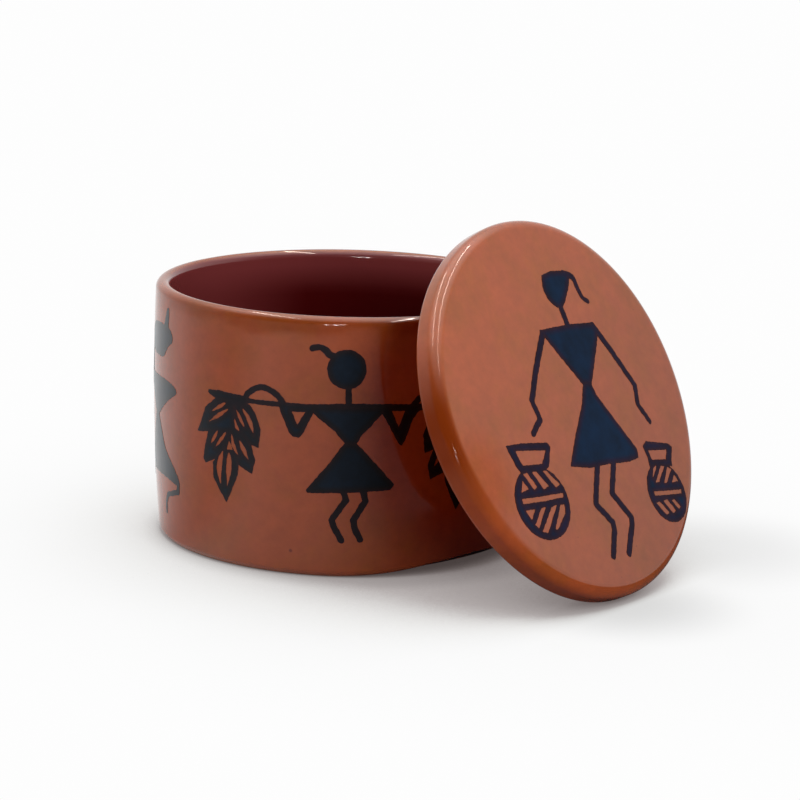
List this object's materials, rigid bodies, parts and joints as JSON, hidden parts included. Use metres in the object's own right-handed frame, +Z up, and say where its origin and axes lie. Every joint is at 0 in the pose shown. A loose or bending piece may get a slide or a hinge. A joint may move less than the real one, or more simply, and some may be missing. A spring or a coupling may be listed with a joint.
{
  "type": "ceramic storage box",
  "caption": "Round lidded keepsake box of glazed terracotta with hand-painted folk figures; the lid is off and leans on the rim.",
  "frame": {"origin": "centre of the box's flat foot, on the surface that it stands on", "axes": "+Z up along the box's axis, +X to the right as seen from the front, where the lid leans, +Y to the back"},
  "size_m": [0.1372, 0.1381, 0.0871],
  "materials": {
    "terracotta_glaze": "clear gloss glaze over red-brown fired clay",
    "figure_paint": "dark blue-black brushed paint under the glaze"
  },
  "bodies": {
    "box": {"box_body": "terracotta_glaze"},
    "lid": {"lid": "terracotta_glaze"}
  },
  "joints": [
    {"name": "lid_lift", "type": "slide", "parent": "box", "child": "lid", "axis": [0, 0, 1], "range_m": [0, 0.08]}
  ]
}
